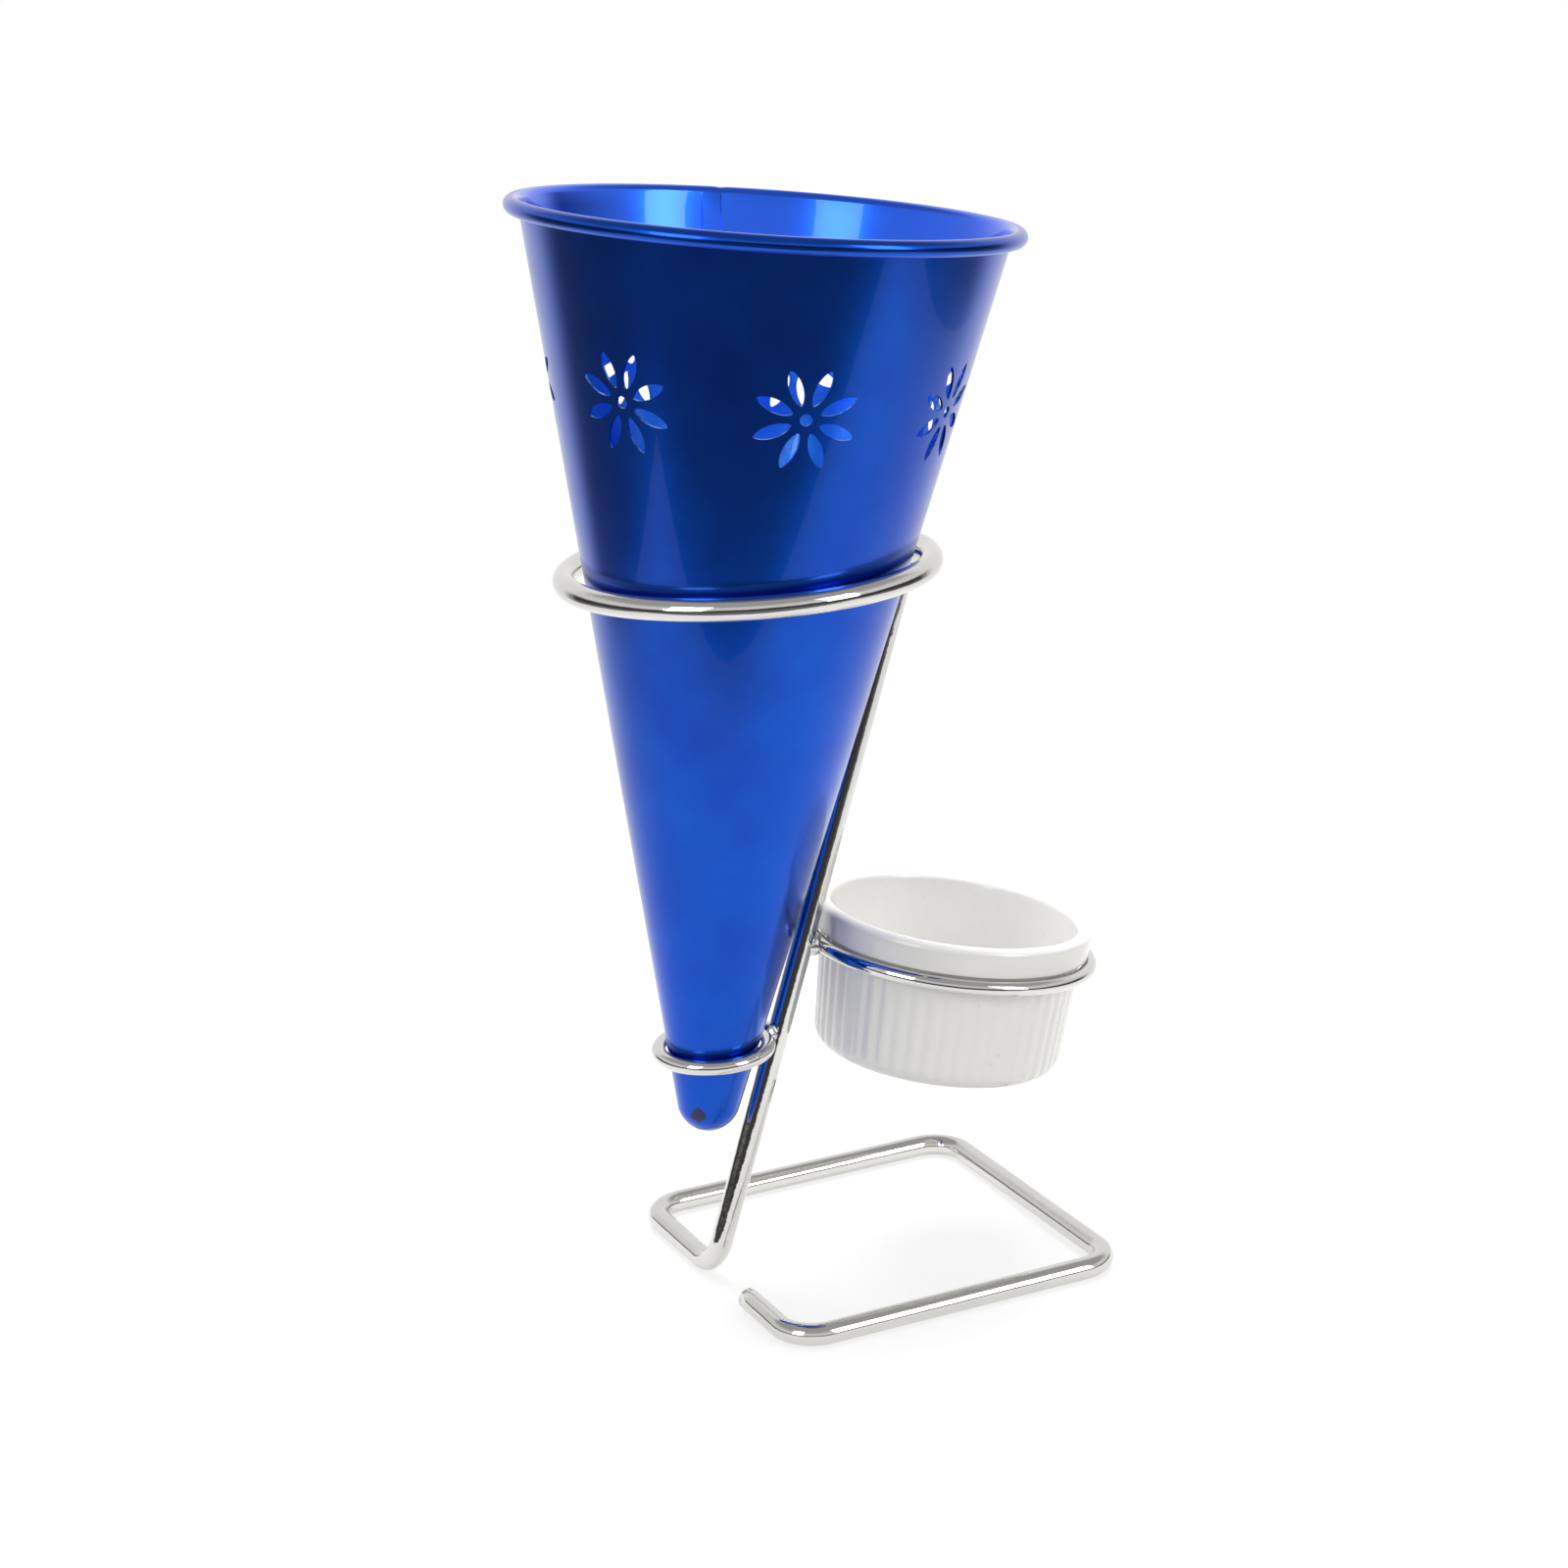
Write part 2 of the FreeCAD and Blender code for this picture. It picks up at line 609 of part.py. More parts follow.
# Flutes: a round cutter runs down the wall, parallel to it, and is repeated round the dish
flute_width = 2 * math.pi * base_r / size("flute_count") - size("flute_land")
flute_r = (flute_width ** 2 / 4 + size("flute_depth") ** 2) / (2 * size("flute_depth"))
stand_off = flute_r - size("flute_depth")
wall_dir = (math.sin(slope), math.cos(slope))
square = (math.cos(slope), -math.sin(slope))
top_height = under - size("flute_stop")
top_on_wall = (wall_top_r - size("flute_stop") * math.tan(slope), top_height)
drop = under + heel
low_on_wall = (top_on_wall[0] - wall_dir[0] * drop, top_on_wall[1] - wall_dir[1] * drop)


def beside(point, distance):
    return (point[0] + square[0] * distance, point[1] + square[1] * distance)


cutter_axis = (beside(low_on_wall, stand_off), beside(top_on_wall, stand_off))
cutter_edge = (beside(low_on_wall, stand_off - flute_r), beside(top_on_wall, stand_off - flute_r))
flute_profile = new_sketch(sauce_dish, "flute_section")
flute_profile.addGeometry([
    line(cutter_axis[0], cutter_axis[1]),
    line(cutter_axis[1], cutter_edge[1]),
    line(cutter_edge[1], cutter_edge[0]),
    line(cutter_edge[0], cutter_axis[0]),
])
flute_profile.addGeometry(line(cutter_axis[0], cutter_axis[1]), True)
flute = sauce_dish.newObject("PartDesign::Groove", "flute")
flute.Profile = flute_profile
flute.ReferenceAxis = (flute_profile, ["Axis0"])
flute.Angle = 360
doc.recompute()
flutes = polar_pattern("flutes", sauce_dish, up_axis(sauce_dish), "flute_count")
flutes.Originals = [flute]
sauce_dish.Tip = flutes
doc.recompute()
print("dish volume: turned", round(dish_turned.Shape.Volume), "fluted", round(flutes.Shape.Volume))

# The collar rests on the dish hoop, and the dish tips with it
dish_up = dish_plane.multVec(Z_AXIS)
dish_foot = dish_ring + dish_up * (wire_r + size("seat_gap") - under)
sauce_dish.Placement = Placement(dish_foot, dish_plane)
print("dish foot at", dish_foot, "up", dish_up)
doc.recompute()

# Check every object, then write one file for each piece
pieces = [
    stand_wire, cone_hoop, tip_hoop, dish_hoop,
    cone_hoop_weld, tip_hoop_weld, dish_hoop_weld,
    cone, sauce_dish,
]
for thing in doc.Objects:
    bad = {"Invalid", "Error"} & set(thing.State)
    if bad:
        raise RuntimeError(f"{thing.Label} is {bad}")
for piece in pieces:
    shape = piece.Shape
    if shape.isNull() or not shape.isValid() or len(shape.Solids) != 1:
        raise RuntimeError(f"{piece.Label}: not one valid solid")
    shape.exportStep(f"parts/{piece.Label}.step")
    print(piece.Label, "volume", round(shape.Volume, 1))
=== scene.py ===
# Snack cone with punched flowers in a bent chrome stand, with a fluted sauce dish beside it.
# Settings are in millimetres and degrees. Meshes are written in metres, in the part's own frame.
import math

import bpy
import numpy as np
from mathutils import Matrix


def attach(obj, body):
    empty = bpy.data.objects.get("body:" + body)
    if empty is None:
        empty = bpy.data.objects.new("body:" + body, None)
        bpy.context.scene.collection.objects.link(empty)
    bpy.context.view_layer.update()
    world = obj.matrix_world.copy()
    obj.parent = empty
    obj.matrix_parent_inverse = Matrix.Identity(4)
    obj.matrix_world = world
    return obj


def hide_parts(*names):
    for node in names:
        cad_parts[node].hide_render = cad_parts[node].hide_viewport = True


mm = 0.001
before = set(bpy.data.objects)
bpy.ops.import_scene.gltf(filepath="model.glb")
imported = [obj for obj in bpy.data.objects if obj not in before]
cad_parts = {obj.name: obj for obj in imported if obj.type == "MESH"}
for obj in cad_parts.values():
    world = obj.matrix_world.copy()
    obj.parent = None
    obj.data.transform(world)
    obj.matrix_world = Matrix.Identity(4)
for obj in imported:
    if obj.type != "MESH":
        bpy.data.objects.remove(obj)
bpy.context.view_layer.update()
print("frame loaded, solids:", len(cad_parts))


def turnAbout(axis, degrees):
    # rotation matrix about X, Y or Z
    return np.array(Matrix.Rotation(math.radians(degrees), 3, axis))


def tipTo(direction):
    # shortest turn that takes +Z to a direction
    x, y, z = direction / np.linalg.norm(direction)
    cross = np.array([[0, 0, x], [0, 0, y], [-x, -y, 0]])
    return np.eye(3) + cross + cross @ cross / (1 + z)


def unit(rows):
    return rows / np.linalg.norm(rows, axis=-1, keepdims=True)


def gridFaces(rowCount, columnCount, first=0, closedRows=False):
    # quads between neighbouring rows and columns; the columns close on themselves
    rows = np.arange(rowCount if closedRows else rowCount - 1)[:, None]
    columns = np.arange(columnCount)[None, :]
    ahead = (columns + 1) % columnCount
    above = (rows + 1) % rowCount
    corners = [rows * columnCount + columns, rows * columnCount + ahead,
               above * columnCount + ahead, above * columnCount + columns]
    return first + np.stack(corners, axis=-1).reshape(-1, 4)


def fanFaces(pole, firstInRing, count, flip):
    # triangles from one ring to its pole
    ring = np.arange(count)
    ahead = (ring + 1) % count
    pair = (ahead, ring) if flip else (ring, ahead)
    return np.stack([np.full(count, pole), firstInRing + pair[0], firstInRing + pair[1]], axis=-1)


def newPiece(name, points, quads, triangles=(), sharpAngle=40):
    # points in millimetres, to an object at the origin
    mesh = bpy.data.meshes.new(name)
    faces = quads.tolist() + [list(face) for face in np.array(triangles).tolist()]
    mesh.from_pydata((points * mm).tolist(), [], faces)
    mesh.validate()
    mesh.polygons.foreach_set("use_smooth", np.ones(len(mesh.polygons), dtype=bool))
    mesh.set_sharp_from_angle(angle=math.radians(sharpAngle))
    piece = bpy.data.objects.new(name, mesh)
    bpy.context.scene.collection.objects.link(piece)
    return piece


def roundedLine(corners, radii, spacing, arcSteps):
    # straight runs through the corners, joined by tangent arcs; two or three coordinates each
    corners = np.array(corners, dtype=float)
    parts = []
    start = corners[0]
    for before, corner, after, radius in zip(corners, corners[1:], corners[2:], radii):
        back = unit(before - corner)
        ahead = unit(after - corner)
        half = math.acos(np.clip(back @ ahead, -1, 1)) / 2
        reach = radius / math.tan(half)
        middle = unit(back + ahead)
        centre = corner + middle * radius / math.sin(half)
        parts.append(straightRun(start, corner + back * reach, spacing))
        sweep = np.linspace(-1, 1, arcSteps)[:, None] * (math.pi / 2 - half)
        side = unit(ahead - back)
        parts.append(centre - middle * radius * np.cos(sweep) + side * radius * np.sin(sweep))
        start = corner + ahead * reach
    parts.append(straightRun(start, corners[-1], spacing))
    line = np.concatenate(parts)
    apart = np.linalg.norm(np.diff(line, axis=0), axis=1) > 1e-6
    return line[np.concatenate([[True], apart])]


def straightRun(start, end, spacing):
    steps = max(2, int(np.linalg.norm(end - start) / spacing) + 1)
    return start + (end - start) * np.linspace(0, 1, steps)[:, None]


def arcPoints(centre, radius, first, last, steps):
    angle = np.radians(np.linspace(first, last, steps))
    return np.stack([centre[0] + radius * np.cos(angle), centre[1] + radius * np.sin(angle)], -1)


def turnedPiece(name, profile, angles, place, origin, reshape, sharpAngle):
    # a profile of (radius, height) carried round its axis; its first and last points are the poles
    radius = np.repeat(profile[1:-1, :1], len(angles), axis=1)
    height = np.repeat(profile[1:-1, 1:], len(angles), axis=1)
    radius, height = reshape(radius, height, angles[None, :])
    ring = np.stack([radius * np.cos(angles), radius * np.sin(angles), height], axis=-1)
    low = [[0, 0, profile[0, 1]]]
    high = [[0, 0, profile[-1, 1]]]
    points = np.concatenate([low, ring.reshape(-1, 3), high]) @ place.T + origin
    rowCount, count = radius.shape
    triangles = np.concatenate([
        fanFaces(0, 1, count, True),
        fanFaces(len(points) - 1, 1 + (rowCount - 1) * count, count, False),
    ])
    quads = gridFaces(rowCount, count, first=1)
    return newPiece(name, points, quads, triangles, sharpAngle)


def hoopPiece(name, centre, plane, ringRadius, wireRadius, around, across):
    # a circle of wire: ring angle along the rows, wire angle along the columns
    ring = np.linspace(0, 2 * math.pi, around, endpoint=False)[:, None]
    wire = np.linspace(0, 2 * math.pi, across, endpoint=False)[None, :]
    reach = ringRadius + wireRadius * np.cos(wire)
    points = np.stack([reach * np.cos(ring), reach * np.sin(ring),
                       wireRadius * np.sin(wire) + 0 * ring], axis=-1)
    points = points.reshape(-1, 3) @ plane.T + centre
    return newPiece(name, points, gridFaces(around, across, closedRows=True)[:, ::-1])


def newMaterial(name, **sockets):
    # a Principled material, with its fixed values on the shader's own sockets
    material = bpy.data.materials.new(name)
    material.use_nodes = True
    tree = material.node_tree
    shader = tree.nodes["Principled BSDF"]
    for socket, value in sockets.items():
        shader.inputs[socket.replace("_", " ")].default_value = value
    return material, tree, shader


def addNode(tree, kind, settings=None, **inputs):
    # an input is named by its socket, or by n and the socket's number
    node = tree.nodes.new(kind)
    for name, value in (settings or {}).items():
        setattr(node, name, value)
    for name, value in inputs.items():
        socket = node.inputs[int(name[1:])] if name[0] == "n" and name[1:].isdigit() \
            else node.inputs[name.replace("_", " ")]
        if isinstance(value, bpy.types.NodeSocket):
            tree.links.new(value, socket)
        else:
            socket.default_value = value
    return node


def noiseAt(tree, where, scale, detail=2.0, roughness=0.5):
    # noise over the object's own coordinates; scale is in cells per metre
    return addNode(tree, "ShaderNodeTexNoise", Vector=where, Scale=scale, Detail=detail,
                   Roughness=roughness).outputs["Fac"]


def objectPlace(tree):
    return addNode(tree, "ShaderNodeTexCoord").outputs["Object"]


def remap(tree, value, low, high, newLow, newHigh, smooth=False):
    # low to high becomes newLow to newHigh, and stops there
    kind = {"interpolation_type": "SMOOTHSTEP"} if smooth else {}
    return addNode(tree, "ShaderNodeMapRange", kind, n0=value, n1=low, n2=high, n3=newLow,
                   n4=newHigh).outputs[0]


def mixColour(tree, factor, first, second):
    return addNode(tree, "ShaderNodeMix", {"data_type": "RGBA"}, n0=factor, n6=first,
                   n7=second).outputs[2]


def addBump(tree, shader, height, distance, strength=1.0, socket="Normal"):
    bump = addNode(tree, "ShaderNodeBump", Height=height, Distance=distance, Strength=strength)
    tree.links.new(bump.outputs["Normal"], shader.inputs[socket])


chrome = {
    "dull": (0.64, 0.63, 0.61, 1),
    "bright": (0.72, 0.71, 0.69, 1),
    "rod": (0.045, 0.10, 0.00006),  # smoothest, roughest, and depth of its waves in metres
    "wire": (0.04, 0.09, 0.00005),
    "weld": (0.12, 0.26, 0.0004),
    "wipeScale": 140,  # cells per metre, as for every scale below
    "roughScale": 420,
    "waveScale": 260,
}


def makeChrome(name, roughLow, roughHigh, dent):
    # plate with faint wiped streaks, and slow waves left by the polishing
    material, tree, shader = newMaterial(name, Metallic=1.0)
    where = objectPlace(tree)
    wipe = noiseAt(tree, where, chrome["wipeScale"], detail=4)
    tint = mixColour(tree, wipe, chrome["dull"], chrome["bright"])
    tree.links.new(tint, shader.inputs["Base Color"])
    grain = noiseAt(tree, where, chrome["roughScale"], detail=3)
    rough = remap(tree, grain, 0.3, 0.7, roughLow, roughHigh)
    tree.links.new(rough, shader.inputs["Roughness"])
    addBump(tree, shader, noiseAt(tree, where, chrome["waveScale"]), dent)
    return material


rodChrome = makeChrome("bright chrome rod", *chrome["rod"])
wireChrome = makeChrome("bright chrome wire", *chrome["wire"])
weldChrome = makeChrome("plated weld", *chrome["weld"])


stand = {
    "rodRadius": 3.0,
    "wireRadius": 2.0,
    "frameX": 48.0,  # half the base frame, along X
    "frameNear": 49.5,
    "frameFar": 44.8,
    "frameBend": 10.0,
    "footBend": 8.0,
    "endGap": 20.7,
    "endRound": 0.6,  # worn edge of the cut end
    "lean": 18.4,
    "weldGap": 0.3,
    "runSpacing": 4.0,
    "arcSteps": 18,
    "rodSides": 40,
    "hoopSides": 36,
}
rodRadius = stand["rodRadius"]
wireRadius = stand["wireRadius"]
uprightDir = np.array([math.sin(math.radians(stand["lean"])), 0,
                       math.cos(math.radians(stand["lean"]))])
footPoint = np.array([-stand["frameX"], 0, rodRadius])
footSide = np.array([-0.949, 0, 0.316])  # square to the upright, where it leans

hoops = {
    "cone_hoop": {"meetHeight": 195.4, "ringRadius": 46.9, "turn": 0, "rise": 0.9, "nearRise": 1.9,
                  "side": -1, "wire": rodRadius, "apart": 0.0, "columns": 220},
    "tip_hoop": {"meetHeight": 67.5, "ringRadius": 14.4, "turn": 4.4, "rise": 1.2, "nearRise": 0,
                 "side": -1, "wire": wireRadius, "apart": 5.3, "columns": 110},
    "dish_hoop": {"meetHeight": 89.8, "ringRadius": 37.9, "turn": -5.0, "rise": -9.5, "nearRise": 0,
                  "side": 1, "wire": wireRadius, "apart": 5.3, "columns": 220},
}


def uprightAt(height):
    return footPoint + uprightDir * (height - footPoint[2]) / uprightDir[2]


def hoopPlace(settings):
    # the hoop's plane, and its centre: one radius from where it is welded on
    level = turnAbout("Z", settings["turn"])
    plane = level @ turnAbout("Y", -settings["rise"]) @ turnAbout("X", -settings["nearRise"])
    meet = uprightAt(settings["meetHeight"])
    meet = meet + level[:, 0] * settings["side"] * settings["apart"] / uprightDir[2]
    return plane, meet + plane[:, 0] * settings["side"] * settings["ringRadius"]


def sweptRod(name):
    # a circle of the rod's radius, carried along the bent line and square to it. Its columns are
    # held by a guide: +Z round the base, footSide up the upright, and on the base's last side a
    # slow turn from the one to the other
    top = uprightAt(hoops["cone_hoop"]["meetHeight"]) - uprightDir * (rodRadius + stand["weldGap"])
    x, near, far = stand["frameX"], stand["frameNear"], stand["frameFar"]
    corners = [(-x, -stand["endGap"], rodRadius), (-x, -near, rodRadius), (x, -near, rodRadius),
               (x, far, rodRadius), (-x, far, rodRadius), footPoint, top]
    bends = [stand["frameBend"]] * 4 + [stand["footBend"]]
    line = roundedLine(corners, bends, stand["runSpacing"], stand["arcSteps"])
    ends = np.concatenate([line[:1], line[:-1]]), np.concatenate([line[1:], line[-1:]])
    along = unit(ends[1] - ends[0])
    lift = np.clip((line[:, 2] - rodRadius) / stand["footBend"], 0, 1)[:, None]
    farRun = np.clip((line[:, 1] / far), 0, 1)[:, None] * (line[:, :1] < 0) + (line[:, :1] >= 0)
    farRun = np.where(line[:, 1:2] < 0, 1.0, farRun)
    guide = unit(np.array([[0, 0, 1.0]]) * farRun + footSide * (1 - farRun))
    guide = np.where(lift > 0, footSide, guide)
    side = unit(np.cross(along, guide))
    up = np.cross(side, along)
    angle = np.linspace(0, 2 * math.pi, stand["rodSides"], endpoint=False)[None, :, None]
    worn = stand["endRound"]
    line = np.concatenate([line[:1], line[:1] + along[:1] * worn, line[1:-1],
                           line[-1:] - along[-1:] * worn, line[-1:]])
    side = np.concatenate([side[:1], side, side[-1:]])
    up = np.concatenate([up[:1], up, up[-1:]])
    radius = np.full((len(line), 1, 1), rodRadius)
    radius[[0, -1]] -= worn
    points = line[:, None] + radius * (side[:, None] * np.cos(angle) + up[:, None] * np.sin(angle))
    count = stand["rodSides"]
    rings = points.reshape(-1, 3)
    points = np.concatenate([rings, line[:1], line[-1:]])
    quads = gridFaces(len(line), count)
    triangles = np.concatenate([
        fanFaces(len(rings), 0, count, True),
        fanFaces(len(rings) + 1, len(rings) - count, count, False),
    ])
    return newPiece(name, points, quads, triangles, sharpAngle=50)


standRod = sweptRod("stand_rod")
standRod.data.materials.append(rodChrome)
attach(standRod, "root")
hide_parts("stand_wire")

hoopPlaces = {}
for name, settings in hoops.items():
    plane, centre = hoopPlace(settings)
    hoopPlaces[name] = (plane, centre)
    ring = hoopPiece("round_" + name, centre, plane, settings["ringRadius"], settings["wire"],
                     settings["columns"], stand["hoopSides"])
    heavy = settings["wire"] == rodRadius
    ring.data.materials.append(rodChrome if heavy else wireChrome)
    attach(ring, "root")
    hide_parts(name)
print("stand and hoops made")


weldBeads = {
    "cone_hoop_weld": {"hoop": "cone_hoop", "radii": (4.3, 4.2, 3.3)},
    "tip_hoop_weld": {"hoop": "tip_hoop", "radii": (3.0, 3.2, 3.2)},
    "dish_hoop_weld": {"hoop": "dish_hoop", "radii": (3.0, 3.2, 3.2)},
}
beadForm = {
    "rows": 39,
    "columns": 64,
    "roundWaves": 0.035,
    "tallWaves": 0.02,
    "poleDrop": 0.93,  # the poles lie as deep as the waves beside them
    "firstSeed": 1.3,
}


def weldBead(name, centre, radii, seed):
    # an ellipsoid whose radius is a little less than whole, by one slow wave round it and one
    # from pole to pole, each of the form depth times (1 plus a sine)
    rows, count = beadForm["rows"], beadForm["columns"]
    tall = np.radians(np.linspace(-90, 90, rows + 2))[1:-1, None]
    turn = np.linspace(0, 2 * math.pi, count, endpoint=False)[None, :]
    waves = np.sin(3 * turn + seed) * np.cos(tall) * np.cos(2 * tall + seed)
    swell = 1 - beadForm["roundWaves"] * (1 + waves)
    swell = swell - beadForm["tallWaves"] * (1 + np.sin(5 * tall + 2 * seed) * np.cos(tall) ** 2)
    points = np.stack([
        radii[0] * swell * np.cos(tall) * np.cos(turn),
        radii[1] * swell * np.cos(tall) * np.sin(turn),
        radii[2] * swell * np.sin(tall) + 0 * turn,
    ], axis=-1).reshape(-1, 3)
    poles = np.array([[0, 0, -radii[2]], [0, 0, radii[2]]]) * beadForm["poleDrop"]
    place = tipTo(uprightDir)
    points = np.concatenate([points, poles]) @ place.T + centre
    rings = len(points) - 2
    triangles = np.concatenate([
        fanFaces(rings, 0, count, True), fanFaces(rings + 1, rings - count, count, False)])
    return newPiece(name, points, gridFaces(rows, count), triangles, sharpAngle=180)


for number, (name, settings) in enumerate(weldBeads.items()):
    hoop = hoops[settings["hoop"]]
    meet = uprightAt(hoop["meetHeight"])
    if hoop["apart"]:
        level = turnAbout("Z", hoop["turn"])[:, 0] * hoop["side"]
        reach = hoop["apart"] / uprightDir[2] - wireRadius - stand["weldGap"] / 2
        centre = meet + level * reach
    else:
        centre = meet - uprightDir * (rodRadius + stand["weldGap"] / 2)
    bead = weldBead("bead_" + settings["hoop"], centre, settings["radii"],
                    beadForm["firstSeed"] + number)
    bead.data.materials.append(weldChrome)
    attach(bead, "root")
    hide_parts(name)
print("weld beads made")


cone = {
    "tip": (-49.3554, -1.5271, 44.4806),
    "axis": (0.107860, -0.001688, 0.994165),
    "turn": -12.1,
    "mouthRadius": 65.0,
    "length": 241.7,
    "tipRadius": 8.4,
    "sheet": 0.6,
    "curlRadius": 2.1,
    "curlSweep": 300,
    "flowerHeight": 197.7,
    "flowers": 7,
    "petals": 8,
    "petalStart": 3.7,
    "petalEnd": 13.2,
    "petalWidth": 3.45,
    "petalTurn": 21.6,
    "eyeRadius": 1.55,
    "outlinePoints": 32,
    "petalFullness": 0.68,  # 0.5 is an ellipse, and 1 has sharp points
    "punchReach": 3.2,  # to each side of the wall's middle
    "lapMiddle": 90.0,  # lapped seam, about the cone's own axis
    "lapSweep": 5.2,
    "lapEdge": 0.35,  # degrees in which the wall steps in
    "lapClear": 0.3,  # degrees kept free of other columns, to each side of those of the step
    "lapFade": 0.6,
    "lapStart": 16.0,  # above the tip
    "lapStop": 4.0,  # below the rim
    "lapMatch": 0.02,  # a point as near as this to the inner wall's line is part of it
    "pinchWidth": 0.9,  # degrees
    "pinchIn": 0.16,
    "pinchDown": 0.18,
    "pinchFrom": 5.0,  # below the rim
    "pinchFade": 2.0,
    "pinchBand": 4.4,  # in from the mouth's radius
    "columns": 366,
    "wallSpacing": 3.0,
    "arcSteps": (18, 26, 34, 16),  # tip, inside of the curl, its outside, and inside of the tip
    "sharpAngle": 35,
}
tipRadius = cone["tipRadius"]
sheet = cone["sheet"]
curlRadius = cone["curlRadius"]
curlAt = np.array([cone["mouthRadius"] - curlRadius, cone["length"] - curlRadius])
climb = curlAt[1] - tipRadius
slant = math.hypot(curlAt[0], climb)
halfAngle = math.acos((tipRadius + curlRadius - sheet) / slant) - math.atan2(climb, curlAt[0])
wallOut = np.array([math.cos(halfAngle), -math.sin(halfAngle)])
conePlace = tipTo(np.array(cone["axis"])) @ turnAbout("Z", cone["turn"])
coneTip = np.array(cone["tip"])
fromApex = tipRadius / math.sin(halfAngle) - tipRadius


def wallRadius(height):
    return (height + fromApex) * math.tan(halfAngle)


def coneProfile():
    # outer tip, wall, rolled rim, and back down the inside of the sheet
    steps = cone["arcSteps"]
    wallAngle = -math.degrees(halfAngle)
    tipAt = np.array([0.0, tipRadius])
    inner = curlRadius - sheet
    curlFrom = 180 + wallAngle
    curlTo = curlFrom - cone["curlSweep"]
    spacing = cone["wallSpacing"]
    outerWall = straightRun(tipAt + wallOut * tipRadius, curlAt - wallOut * inner, spacing)
    innerWall = straightRun(curlAt - wallOut * curlRadius, tipAt + wallOut * (tipRadius - sheet),
                            spacing)
    return np.concatenate([
        arcPoints(tipAt, tipRadius, -90, wallAngle, steps[0]),
        outerWall[1:-1],
        arcPoints(curlAt, inner, curlFrom, curlTo, steps[1]),
        arcPoints(curlAt, curlRadius, curlTo, curlFrom, steps[2]),
        innerWall[1:-1],
        arcPoints(tipAt, tipRadius - sheet, wallAngle, -90, steps[3]),
    ])


def lapReshape(radius, height, angles):
    # the sheet's end: inside the wall, the strip between its two edges stands in by one sheet
    offset = angles - math.radians(cone["lapMiddle"]) + math.pi
    offset = np.degrees(offset % (2 * math.pi) - math.pi)
    half = cone["lapSweep"] / 2
    across = np.clip((half - np.abs(offset)) / cone["lapEdge"], 0, 1)
    wallIn = wallRadius(height) - sheet / math.cos(halfAngle)
    onInside = np.abs(radius - wallIn) < cone["lapMatch"]
    along = np.clip((height - cone["lapStart"]) / cone["lapFade"], 0, 1)
    along = along * np.clip((cone["length"] - cone["lapStop"] - height) / cone["lapFade"], 0, 1)
    radius = radius - onInside * across * along * sheet
    # the rolled rim is pinched a little where the two layers run into it
    rim = np.clip((height - cone["length"] + cone["pinchFrom"]) / cone["pinchFade"], 0, 1)
    rim = rim * np.exp(-((offset + half) / cone["pinchWidth"]) ** 2)
    onRim = radius > cone["mouthRadius"] - cone["pinchBand"]
    return radius - cone["pinchIn"] * rim * onRim, height - cone["pinchDown"] * rim


def coneAngles():
    # even columns, with two more at each edge of the lap
    even = np.linspace(0, 360, cone["columns"], endpoint=False)
    half = cone["lapSweep"] / 2
    step = cone["lapEdge"]
    edges = np.array([-half, -half + step, half - step, half]) + cone["lapMiddle"]
    near = np.abs(even[:, None] - edges[None, :]).min(axis=1) < cone["lapClear"]
    return np.radians(np.sort(np.concatenate([even[~near], edges])))


def punchShapes():
    # outlines of the petals and the eye about a flower's centre. At the part t of its half length
    # a petal's half width is the greatest one times (1 - t squared) to the power of its fullness
    along = -np.cos(np.linspace(0, math.pi, cone["outlinePoints"] // 2 + 1))
    longHalf = (cone["petalEnd"] - cone["petalStart"]) / 2
    x = longHalf * along
    y = cone["petalWidth"] / 2 * (1 - np.minimum(along ** 2, 1)) ** cone["petalFullness"]
    petal = np.concatenate([np.stack([x, -y], -1), np.stack([x[::-1], y[::-1]], -1)[1:-1]])
    petal = petal + [longHalf + cone["petalStart"], 0]
    eyeAngles = np.linspace(0, 2 * math.pi, cone["outlinePoints"], endpoint=False)
    eye = cone["eyeRadius"] * np.stack([np.cos(eyeAngles), np.sin(eyeAngles)], -1)
    turns = np.radians(90 - cone["petalTurn"] - 360 / cone["petals"] * np.arange(cone["petals"]))
    spin = np.stack([np.stack([np.cos(turns), -np.sin(turns)], -1),
                     np.stack([np.sin(turns), np.cos(turns)], -1)], axis=-2)
    petals = np.einsum("pij,kj->pki", spin, petal)
    return np.concatenate([petals, eye[None]])


